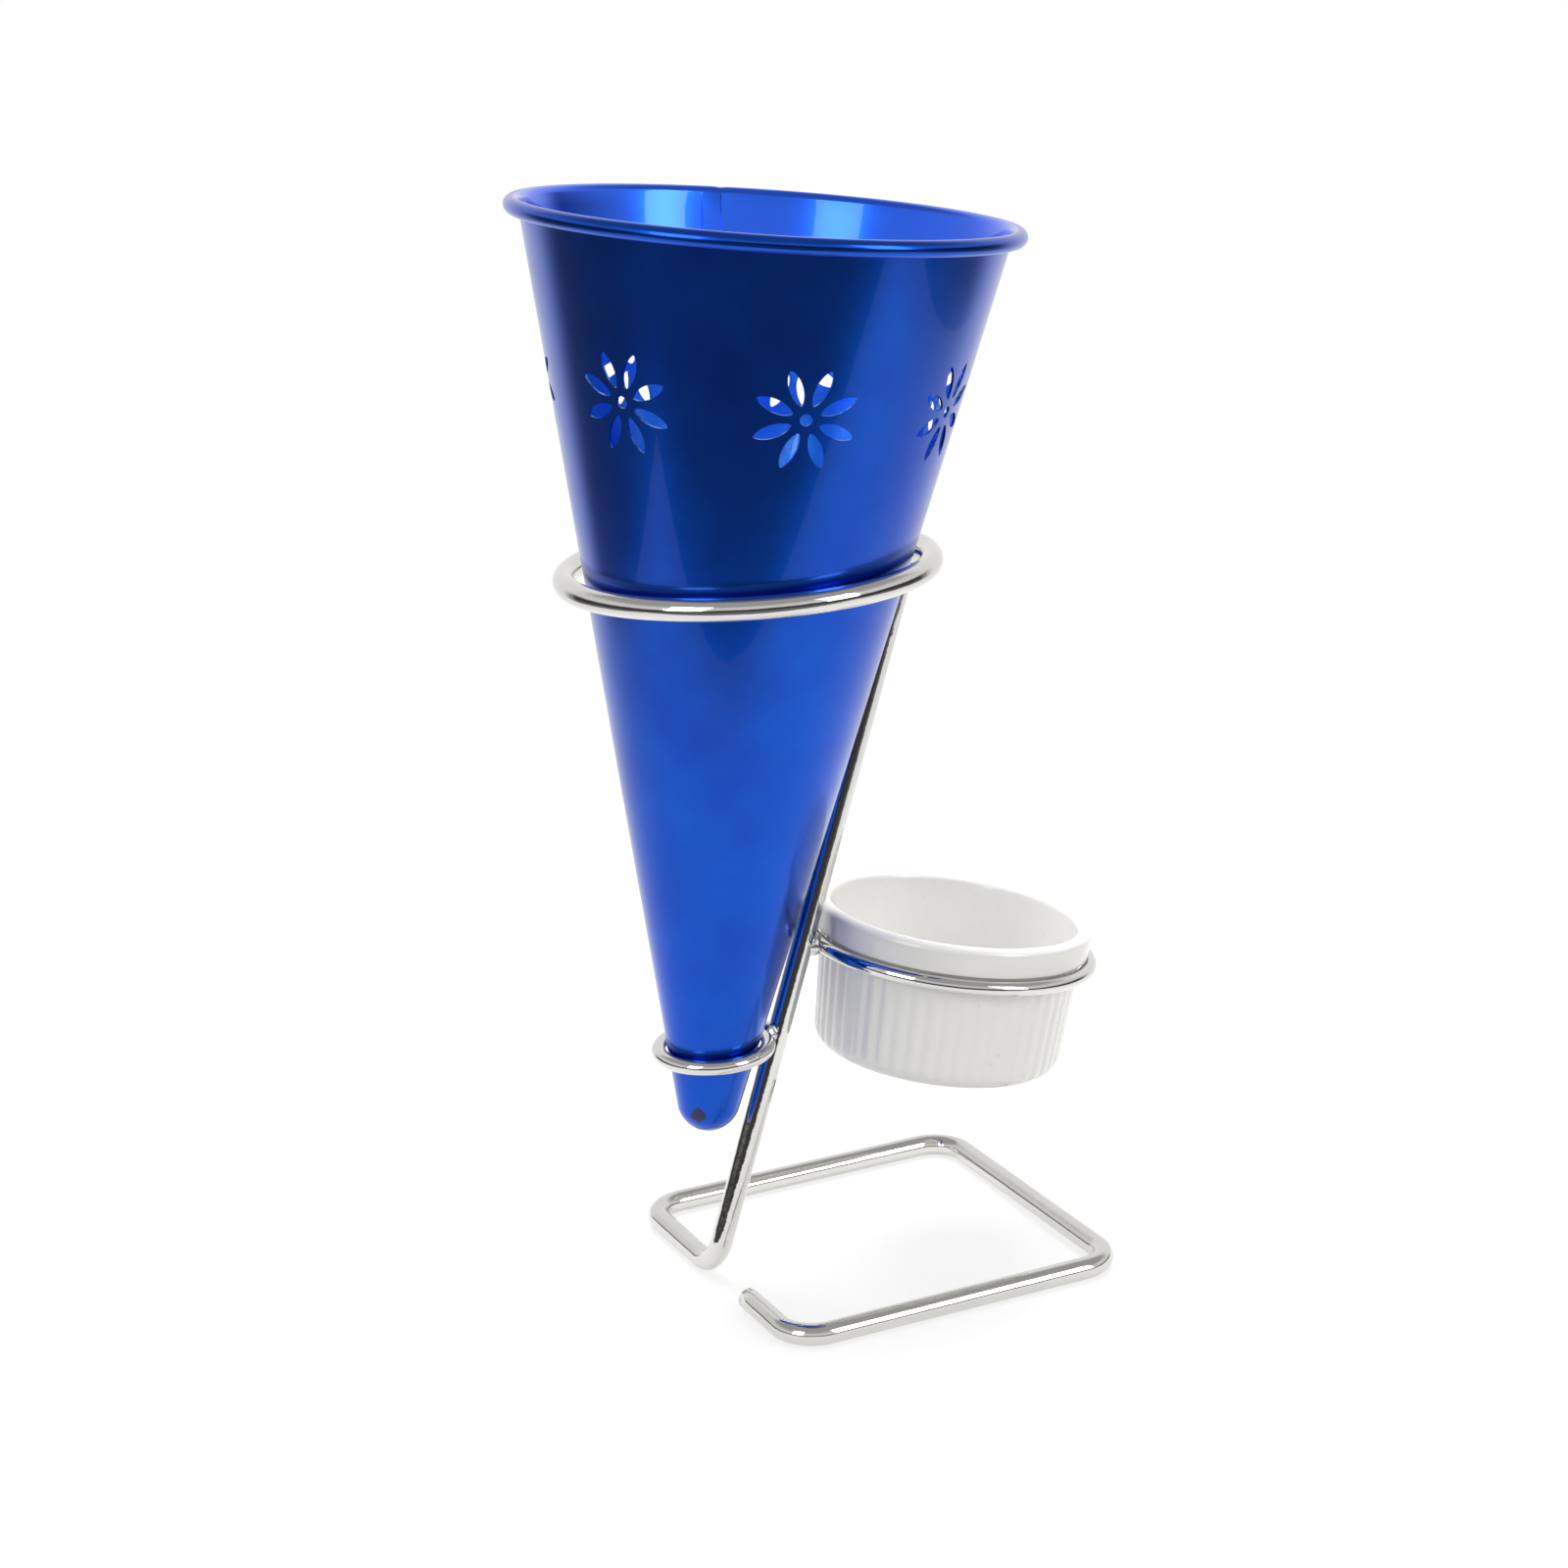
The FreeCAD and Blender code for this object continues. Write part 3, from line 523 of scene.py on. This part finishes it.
def punchCutter():
    # every outline becomes a prism square to the wall, and the flower is repeated round the cone
    shapes = punchShapes()
    centreRadius = wallRadius(cone["flowerHeight"])
    reach = cone["punchReach"]
    turns = np.radians(-90 + 360 / cone["flowers"] * np.arange(cone["flowers"]))
    blocks = []
    for turn in turns:
        outward = np.array([math.cos(turn), math.sin(turn), 0])
        across = np.array([-math.sin(turn), math.cos(turn), 0])
        square = outward * math.cos(halfAngle) - np.array([0, 0, 1]) * math.sin(halfAngle)
        upWall = outward * math.sin(halfAngle) + np.array([0, 0, 1]) * math.cos(halfAngle)
        centre = outward * centreRadius + np.array([0, 0, cone["flowerHeight"]])
        flat = centre + shapes[..., :1] * across + shapes[..., 1:] * upWall
        blocks.append(np.stack([flat - square * reach, flat + square * reach], axis=2))
    blocks = np.concatenate(blocks)
    prisms, sides = blocks.shape[:2]
    first = (np.arange(prisms) * sides * 2)[:, None]
    side = np.arange(sides)[None, :]
    ahead = (side + 1) % sides
    quads = np.stack([first + 2 * side, first + 2 * ahead, first + 2 * ahead + 1,
                      first + 2 * side + 1], -1).reshape(-1, 4)
    bottoms = (first + 2 * side)[:, ::-1]
    tops = first + 2 * side + 1
    points = blocks.reshape(-1, 3) @ conePlace.T + coneTip
    mesh = bpy.data.meshes.new("punch")
    mesh.from_pydata((points * mm).tolist(), [], quads.tolist() + bottoms.tolist() + tops.tolist())
    punch = bpy.data.objects.new("punch", mesh)
    bpy.context.scene.collection.objects.link(punch)
    return punch


def bakeModifiers(piece):
    graph = bpy.context.evaluated_depsgraph_get()
    finished = bpy.data.meshes.new_from_object(piece.evaluated_get(graph), depsgraph=graph)
    piece.modifiers.clear()
    piece.data = finished


coneSheet = turnedPiece("cone_sheet", coneProfile(), coneAngles(), conePlace, coneTip, lapReshape,
                        cone["sharpAngle"])
punch = punchCutter()
cut = coneSheet.modifiers.new("punched", "BOOLEAN")
cut.operation = "DIFFERENCE"
cut.solver = "EXACT"
cut.object = punch
bakeModifiers(coneSheet)
bpy.data.objects.remove(punch)
faceCount = len(coneSheet.data.polygons)
coneSheet.data.polygons.foreach_set("use_smooth", np.ones(faceCount, dtype=bool))
coneSheet.data.set_sharp_from_angle(angle=math.radians(cone["sharpAngle"]))
print("cone made, faces:", faceCount)

lacquer = {
    "deep": (0.0018, 0.058, 0.46, 1),
    "light": (0.0026, 0.086, 0.56, 1),
    # painted light: the inside's blue is a lighter copy of the outside's lacquer, standing for the
    # light inside the cone
    "inner": (0.006, 0.12, 0.92, 1),
    "paintedLight": (0.07, 0.33, 0.94, 1),  # painted light: inside and deep down, a lighter blue where the flowers show it
    "paintedLightFrom": 22.0,  # below the rim
    "paintedLightTo": 38.0,
    "cloudScale": 45,
    "grainScale": 2600,
    "grainShare": 0.35,
    "grainDepth": 0.000012,
    "rippleScale": 500,
    "rippleDepth": 0.00001,
    "roughScale": 60,
    "smoothest": 0.21,
    "roughest": 0.26,
    "coatOutside": 0.27,
    "coatInside": 0.7,
    # painted reflection: a dark spot near the tip, with its colour, place, size, raggedness and
    # noise scale
    "paintedReflection": (0.03, 0.035, 0.085, 1),
    "paintedReflectionAt": (-54.3, -7.4, 51.4),
    "paintedReflectionSize": 2.3,
    "paintedReflectionRagged": 3.4,
    "paintedReflectionScale": 700,
    "cutEdge": (0.015, 0.11, 0.55, 1),
    "cutEdgeWorn": (0.16, 0.30, 0.72, 1),
    "wearScale": 500,
}


def makeLacquer(name, inside):
    coat = lacquer["coatInside" if inside else "coatOutside"]
    material, tree, shader = newMaterial(name, Metallic=1.0, Coat_Weight=coat,
                                         Coat_Roughness=0.03, Coat_IOR=1.5)
    where = objectPlace(tree)
    # thicker and thinner lacquer, in slow clouds and in fine grain
    cloud = noiseAt(tree, where, lacquer["cloudScale"], detail=3, roughness=0.6)
    grain = noiseAt(tree, where, lacquer["grainScale"], roughness=0.7)
    blend = addNode(tree, "ShaderNodeMath", {"operation": "MULTIPLY_ADD"}, n0=grain,
                    n1=lacquer["grainShare"], n2=cloud)
    amount = remap(tree, blend.outputs[0], 0.45, 0.95, 0.0, 1.0)
    colour = mixColour(tree, amount, lacquer["deep"], lacquer["light"])
    # inside, the colour is painted lighter than outside, as painted light
    if inside:
        # painted light: from 22 mm below the rim down to 38 mm the inside turns to a lighter blue
        # still, and stays so down to the tip
        axis = np.array(cone["axis"])
        up = addNode(tree, "ShaderNodeVectorMath", {"operation": "DOT_PRODUCT"}, n0=where,
                     n1=tuple(axis)).outputs["Value"]
        rim = cone["length"] + coneTip @ axis
        paintedLight = remap(tree, up, (rim - lacquer["paintedLightFrom"]) * mm, (rim - lacquer["paintedLightTo"]) * mm,
                     0, 1, True)
        colour = mixColour(tree, paintedLight, lacquer["inner"], lacquer["paintedLight"])
    # a painted reflection at the tip: a small dark spot with a ragged edge
    shift = lacquer["paintedReflectionRagged"]
    warp = addNode(tree, "ShaderNodeTexNoise", Vector=where, Scale=lacquer["paintedReflectionScale"], Detail=2)
    ragged = addNode(tree, "ShaderNodeVectorMath", {"operation": "MULTIPLY_ADD"},
                     n0=warp.outputs["Color"], n1=(shift * mm,) * 3, n2=where)
    away = addNode(tree, "ShaderNodeVectorMath", {"operation": "DISTANCE"}, n0=ragged.outputs[0],
                   n1=tuple((along + shift / 2) * mm for along in lacquer["paintedReflectionAt"]))
    size = lacquer["paintedReflectionSize"] * mm
    paintedReflection = remap(tree, away.outputs["Value"], size, size * 0.86, 0, 1)
    tree.links.new(mixColour(tree, paintedReflection, colour, lacquer["paintedReflection"]), shader.inputs["Base Color"])
    haze = noiseAt(tree, where, lacquer["roughScale"], detail=3)
    rough = remap(tree, haze, 0.3, 0.7, lacquer["smoothest"], lacquer["roughest"])
    tree.links.new(rough, shader.inputs["Roughness"])
    addBump(tree, shader, grain, lacquer["grainDepth"], 0.5)
    ripple = noiseAt(tree, where, lacquer["rippleScale"])
    addBump(tree, shader, ripple, lacquer["rippleDepth"], 0.4, "Coat Normal")
    return material


def makeCutEdge():
    # the punch leaves a bright burr, with lacquer run thin over it
    material, tree, shader = newMaterial("thinly lacquered cut edge", Metallic=1.0, Roughness=0.3)
    where = objectPlace(tree)
    worn = remap(tree, noiseAt(tree, where, lacquer["wearScale"]), 0.42, 0.58, 0, 1)
    colour = mixColour(tree, worn, lacquer["cutEdge"], lacquer["cutEdgeWorn"])
    tree.links.new(colour, shader.inputs["Base Color"])
    return material


def markFaces(piece, edgeSlot, insideSlot):
    # facing is 1 where a face looks out from the wall, and -1 where it looks in. Faces in the
    # flower band that do neither are cut edges, and those that look in are the inside
    mesh = piece.data
    count = len(mesh.polygons)
    centres, normals = np.empty(count * 3), np.empty(count * 3)
    mesh.polygons.foreach_get("center", centres)
    mesh.polygons.foreach_get("normal", normals)
    centres = (centres.reshape(-1, 3) / mm - coneTip) @ conePlace
    normals = normals.reshape(-1, 3) @ conePlace
    outward = unit(centres * [1, 1, 0])
    facing = ((normals * outward).sum(axis=1) * math.cos(halfAngle)
              - normals[:, 2] * math.sin(halfAngle))
    inBand = np.abs(centres[:, 2] - cone["flowerHeight"]) < cone["petalEnd"] + 1
    slots = np.where(facing < -0.5, insideSlot, 0)
    slots = np.where(inBand & (np.abs(facing) < 0.5), edgeSlot, slots).astype(np.int32)
    mesh.polygons.foreach_set("material_index", slots)
    print("cut edge faces:", int((slots == edgeSlot).sum()))


coneSheet.data.materials.clear()
coneSheet.data.materials.append(makeLacquer("clear blue lacquer on bright sheet", inside=False))
coneSheet.data.materials.append(makeCutEdge())
# its inside has painted light: a lighter blue, and lighter still deep down
coneSheet.data.materials.append(makeLacquer("blue lacquer inside with painted light", inside=True))
markFaces(coneSheet, edgeSlot=1, insideSlot=2)
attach(coneSheet, "root")
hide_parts("cone")


dish = {
    "foot": (18.662, -3.3060, 53.4630),
    "rimRadius": 37.6,
    "height": 40.6,
    "collarRadius": 37.2,
    "collarFoot": 32.8,
    "wallTop": 35.45,
    "wallFoot": 33.6,
    "heel": 5.0,
    "innerTop": 33.6,
    "innerFoot": 29.6,
    "floor": 4.5,
    "bowl": 7.0,
    "recess": 0.8,
    "footWidth": 3.0,
    "rimRound": 1.94,
    "flutes": 50,
    "fluteDepth": 0.32,
    "columnsPerFlute": 9,
    "fluteCrown": 1.35,  # over 1, the ribs are broader than the valleys
    "fluteInset": 1.6,  # only points outside this line are ribbed
    "fluteInsetLean": 0.03,
    "fluteBelow": 0.5,
    "bowlClear": 0.5,
    "bowlLean": 0.14,
    "fluteTop": 0.9,  # below the collar
    "fluteTopFade": 1.2,
    "fluteFoot": 0.6,
    "fluteFootFade": 3.4,
    "glazeRound": 0.45,  # glaze softens every edge
    "footInset": 4.75,
    "heelInset": 0.25,  # where wall and underside would meet without the heel's rounding
    "bowlInset": 0.45,
    "spacing": 0.8,
    "arcSteps": 9,
    "white": (0.77, 0.765, 0.74, 1),
    "whiter": (0.81, 0.805, 0.78, 1),
    "speck": (0.45, 0.42, 0.37, 1),
    "cloudScale": 50,
    "speckScale": 900,
    "waveScale": 180,
    "waveDepth": 0.00006,
    "roughScale": 120,
    "smoothest": 0.10,
    "roughest": 0.16,
}


def dishProfile():
    # underside, foot ring, heel, wall, collar, rim, inside wall and floor
    footOut = dish["wallFoot"] - dish["footInset"]
    footIn = footOut - dish["footWidth"]
    glaze = dish["glazeRound"]
    corners = [
        (0, dish["recess"]), (footIn - dish["recess"], dish["recess"]), (footIn, 0),
        (dish["wallFoot"] - dish["heelInset"], 0), (dish["wallTop"], dish["collarFoot"]),
        (dish["collarRadius"], dish["collarFoot"]), (dish["rimRadius"], dish["height"]),
        (dish["innerTop"], dish["height"]), (dish["innerFoot"] - dish["bowlInset"], dish["floor"]),
        (0, dish["floor"]),
    ]
    radii = [glaze, glaze, dish["heel"], glaze, glaze, dish["rimRound"], dish["rimRound"],
             dish["bowl"]]
    return roundedLine(corners, radii, dish["spacing"], dish["arcSteps"])


def fluteReshape(radius, height, angles):
    # ribs round the wall: the radius drops by the flute's depth times half of one less the cosine
    # of the way from rib to valley, and the flute runs out under the collar and over the heel
    across = np.abs(((angles * dish["flutes"] / (2 * math.pi)) % 1.0) * 2 - 1)
    valley = 0.5 - 0.5 * np.cos(math.pi * across ** dish["fluteCrown"])
    top = dish["collarFoot"] - dish["fluteTop"]
    run = np.clip((top - height) / dish["fluteTopFade"], 0, 1)
    run = run * np.clip((height - dish["fluteFoot"]) / dish["fluteFootFade"], 0, 1)
    run = run * run * (3 - 2 * run)
    # the points of the outer wall alone: outside a line under the wall, below the collar, and
    # not on the bowl
    under = (dish["collarFoot"] - height) * dish["fluteInsetLean"]
    outside = radius > dish["innerTop"] - dish["fluteInset"] - under
    below = height < dish["collarFoot"] - dish["fluteBelow"]
    bowl = dish["innerFoot"] + (height - dish["floor"]) * dish["bowlLean"] + dish["bowlClear"]
    on = outside & below & ~((radius < bowl) & (height > dish["floor"]))
    return radius - on * run * valley * dish["fluteDepth"], height + 0 * angles


dishPlane = hoopPlaces["dish_hoop"][0]
dishAngles = np.linspace(0, 2 * math.pi, dish["flutes"] * dish["columnsPerFlute"], endpoint=False)
dishPiece = turnedPiece("fluted_dish", dishProfile(), dishAngles, dishPlane,
                        np.array(dish["foot"]), fluteReshape, sharpAngle=180)


def makePorcelain():
    material, tree, shader = newMaterial("white glazed porcelain", IOR=1.5, Coat_Weight=0.3,
                                         Coat_Roughness=0.02)
    where = objectPlace(tree)
    cloud = noiseAt(tree, where, dish["cloudScale"], detail=3)
    colour = mixColour(tree, cloud, dish["white"], dish["whiter"])
    # a few pin-prick specks in the body under the glaze
    speck = remap(tree, noiseAt(tree, where, dish["speckScale"], detail=0), 0.20, 0.14, 0, 0.25)
    colour = mixColour(tree, speck, colour, dish["speck"])
    tree.links.new(colour, shader.inputs["Base Color"])
    haze = noiseAt(tree, where, dish["roughScale"])
    rough = remap(tree, haze, 0.3, 0.7, dish["smoothest"], dish["roughest"])
    tree.links.new(rough, shader.inputs["Roughness"])
    addBump(tree, shader, noiseAt(tree, where, dish["waveScale"]), dish["waveDepth"])
    return material


dishPiece.data.materials.append(makePorcelain())
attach(dishPiece, "root")
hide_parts("sauce_dish")
print("sauce dish made, faces:", len(dishPiece.data.polygons))


studio = {
    "frontDirection": (-0.43, -0.903, 0),  # across the table, to where the photo was taken from
    "floorFront": 0.31,  # the pale paper ends here, and a dimmer room begins
    "floorBack": 2.5,
    "floorSide": 0.50,
    "roomFloor": 0.19,
    "roomWall": 0.05,
    "roomBand": 0.80,  # lit wall between the lamps
    "roomCeiling": 0.42,
    "backdropLight": 0.95,
    "paper": (0.52, 0.52, 0.52, 1),  # what the paper throws back onto the object
    "paperShade": (0.24, 0.24, 0.24, 1),  # the part of its look that takes the shadow
    "paperGlow": 0.74,
    "paperNear": 0.16,  # metres from the middle, where plain white begins
    "paperFar": 0.40,
    "floorEdge": (-0.30, -0.12),  # heights in the room, on a unit sphere
    "bandEdge": (0.02, 0.22),
    "ceilingEdge": (0.36, 0.66),
    "backdropEdge": (-0.45, -0.75),  # part of the way to the front
    "lampColour": (1.0, 0.99, 0.975),
    "lampTarget": (0, 0, 0.14),
}
lamps = {  # place, width, height and watts
    "left box": ((-1.16, -0.58, 0.66), 0.55, 0.85, 4.6),
    "right box": ((0.62, -1.14, 0.66), 0.50, 0.85, 5.2),
    "top box": ((0.12, 0.30, 1.35), 1.0, 0.9, 30),
}
front = unit(np.array(studio["frontDirection"]))
sideways = np.array([-front[1], front[0], 0])


def makeFloor():
    reach = front * studio["floorFront"], -front * studio["floorBack"]
    wide = sideways * studio["floorSide"]
    points = np.array([reach[0] - wide, reach[0] + wide, reach[1] + wide, reach[1] - wide])
    mesh = bpy.data.meshes.new("floor")
    mesh.from_pydata(points.tolist(), [], [(0, 1, 2, 3)])
    floor = bpy.data.objects.new("floor", mesh)
    bpy.context.scene.collection.objects.link(floor)
    material = bpy.data.materials.new("pale floor")
    material.use_nodes = True
    tree = material.node_tree
    tree.nodes.clear()
    # what looks at the paper, or mirrors it, sees it white with a shadow; all other light meets
    # plain grey
    path = addNode(tree, "ShaderNodeLightPath")
    seen = addNode(tree, "ShaderNodeMath", {"operation": "MAXIMUM"},
                   n0=path.outputs["Is Camera Ray"], n1=path.outputs["Is Glossy Ray"])
    seen = addNode(tree, "ShaderNodeMath", {"operation": "MAXIMUM"}, n0=seen.outputs[0],
                   n1=path.outputs["Is Transmission Ray"])
    # the shadow falls on the paper near the object, and further out the paper is plain white
    reach = addNode(tree, "ShaderNodeVectorMath", {"operation": "LENGTH"}, n0=objectPlace(tree))
    far = remap(tree, reach.outputs["Value"], studio["paperNear"], studio["paperFar"], 0, 1, True)
    plain = addNode(tree, "ShaderNodeBsdfDiffuse", Color=studio["paper"])
    dim = addNode(tree, "ShaderNodeBsdfDiffuse", Color=studio["paperShade"])
    glow = addNode(tree, "ShaderNodeEmission", Color=(1, 1, 1, 1), Strength=studio["paperGlow"])
    near = addNode(tree, "ShaderNodeAddShader", n0=dim.outputs[0], n1=glow.outputs[0])
    white = addNode(tree, "ShaderNodeEmission", Color=(1, 1, 1, 1), Strength=1.0)
    paper = addNode(tree, "ShaderNodeMixShader", n0=far, n1=near.outputs[0], n2=white.outputs[0])
    mixed = addNode(tree, "ShaderNodeMixShader", n0=seen.outputs[0], n1=plain.outputs[0],
                    n2=paper.outputs[0])
    out = addNode(tree, "ShaderNodeOutputMaterial")
    tree.links.new(mixed.outputs[0], out.inputs["Surface"])
    mesh.materials.append(material)


def makeWorld():
    # a white backdrop behind the object, and round the rest a room with dark walls, a lit band at
    # the height of the lamps, and a dimmer ceiling
    world = bpy.data.worlds.new("studio")
    bpy.context.scene.world = world
    world.use_nodes = True
    tree = world.node_tree
    tree.nodes.clear()
    way = addNode(tree, "ShaderNodeTexCoord").outputs["Generated"]
    path = addNode(tree, "ShaderNodeLightPath")
    ahead = addNode(tree, "ShaderNodeVectorMath", {"operation": "DOT_PRODUCT"}, n0=way,
                    n1=tuple(front)).outputs["Value"]
    height = addNode(tree, "ShaderNodeSeparateXYZ", n0=way).outputs["Z"]
    wall, band, ceiling = studio["roomWall"], studio["roomBand"], studio["roomCeiling"]
    low = remap(tree, height, *studio["floorEdge"], studio["roomFloor"], wall, True)
    middle = remap(tree, height, *studio["bandEdge"], 0.0, band - wall, True)
    high = remap(tree, height, *studio["ceilingEdge"], 0.0, ceiling - band, True)
    room = addNode(tree, "ShaderNodeMath", {"operation": "ADD"}, n0=low, n1=middle).outputs[0]
    room = addNode(tree, "ShaderNodeMath", {"operation": "ADD"}, n0=room, n1=high).outputs[0]
    behind = remap(tree, ahead, *studio["backdropEdge"], 0.0, 1.0, True)
    level = addNode(tree, "ShaderNodeMix", {"data_type": "FLOAT"}, n0=behind, n2=room,
                    n3=studio["backdropLight"]).outputs[0]
    shown = addNode(tree, "ShaderNodeMix", {"data_type": "FLOAT"},
                    n0=path.outputs["Is Camera Ray"], n2=level, n3=1.0)
    plain = addNode(tree, "ShaderNodeBackground", Color=(1, 1, 1, 1), Strength=shown.outputs[0])
    out = addNode(tree, "ShaderNodeOutputWorld")
    tree.links.new(plain.outputs[0], out.inputs["Surface"])


def softbox(name, place, width, height, watts):
    # a rectangle of light that faces the middle of the object
    lamp = bpy.data.lights.new(name, "AREA")
    lamp.shape = "RECTANGLE"
    lamp.size = width
    lamp.size_y = height
    lamp.energy = watts
    lamp.color = studio["lampColour"]
    box = bpy.data.objects.new(name, lamp)
    back = unit(np.array(place, dtype=float) - np.array(studio["lampTarget"], dtype=float))
    across = unit(np.cross([0, 0, 1.0], back))
    upright = np.cross(back, across)
    pose = Matrix(np.stack([across, upright, back], axis=1).tolist()).to_4x4()
    pose.translation = place
    box.matrix_world = pose
    box.visible_camera = False
    bpy.context.scene.collection.objects.link(box)
    return box


makeFloor()
makeWorld()
softboxes = {name: softbox(name, *settings) for name, settings in lamps.items()}
softboxes["top box"].visible_glossy = False  # it would whiten the top of every rod
print("floor, room and lamps made")

view = {
    "focalPixels": 3444.2,
    "imagePixels": 1600,
    "sensor": 36,
    "place": (-0.38555, -0.75865, 0.39702),
    "right": (0.897460, -0.440006, -0.030991),
    "up": (0.157349, 0.253718, 0.954394),
}


def makeCamera():
    data = bpy.data.cameras.new("camera")
    data.sensor_width = view["sensor"]
    data.lens = view["sensor"] * view["focalPixels"] / view["imagePixels"]
    camera = bpy.data.objects.new("camera", data)
    right, upward = np.array(view["right"]), np.array(view["up"])
    pose = Matrix(np.stack([right, upward, np.cross(right, upward)], axis=1).tolist()).to_4x4()
    pose.translation = view["place"]
    camera.matrix_world = pose
    bpy.context.scene.collection.objects.link(camera)
    bpy.context.scene.camera = camera


makeCamera()
bpy.context.scene.view_settings.view_transform = "Standard"
bpy.context.view_layer.update()
